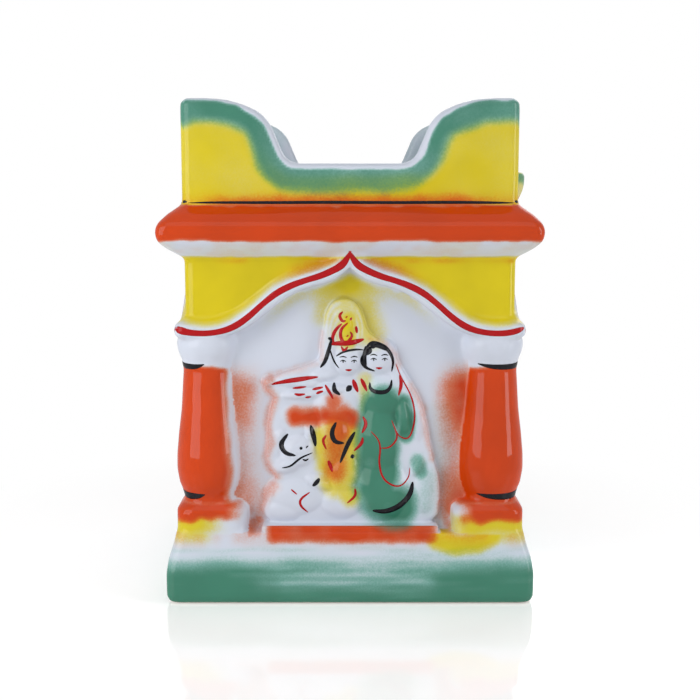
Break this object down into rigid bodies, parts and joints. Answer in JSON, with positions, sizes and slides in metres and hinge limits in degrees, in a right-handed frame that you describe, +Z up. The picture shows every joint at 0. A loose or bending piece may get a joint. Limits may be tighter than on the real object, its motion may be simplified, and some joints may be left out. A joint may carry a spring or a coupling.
{
  "type": "tulsi planter",
  "caption": "Square glazed ceramic tulsi planter with corner columns, ogee niches, figures in low relief, a bold cornice and a scooped parapet with a side lamp cup.",
  "frame": {"origin": "centre of the drain hole at the underside, in the plane that the planter stands on", "axes": "+Z up, -Y out of the front niche that holds the figures, +X towards the lamp cup"},
  "size_m": [0.1932, 0.1904, 0.253],
  "materials": {
    "green_glaze": "clear gloss glaze over sprayed colour",
    "yellow_glaze": "clear gloss glaze over sprayed colour",
    "orange_glaze": "clear gloss glaze over sprayed colour",
    "white_glaze": "clear gloss glaze over sprayed colour"
  },
  "bodies": {
    "root": {"plinth": "green_glaze", "floor": "white_glaze", "body_walls": "white_glaze", "column_front_left": "orange_glaze", "column_front_right": "orange_glaze", "column_back_left": "orange_glaze", "column_back_right": "orange_glaze", "arch_panel_front": "yellow_glaze", "arch_panel_right": "yellow_glaze", "arch_panel_back": "yellow_glaze", "arch_panel_left": "yellow_glaze", "cornice": "orange_glaze", "parapet": "yellow_glaze", "lamp_cup": "green_glaze", "figure_pedestal": "orange_glaze", "flute_player": "white_glaze", "companion": "green_glaze", "calf": "white_glaze"}
  },
  "joints": []
}
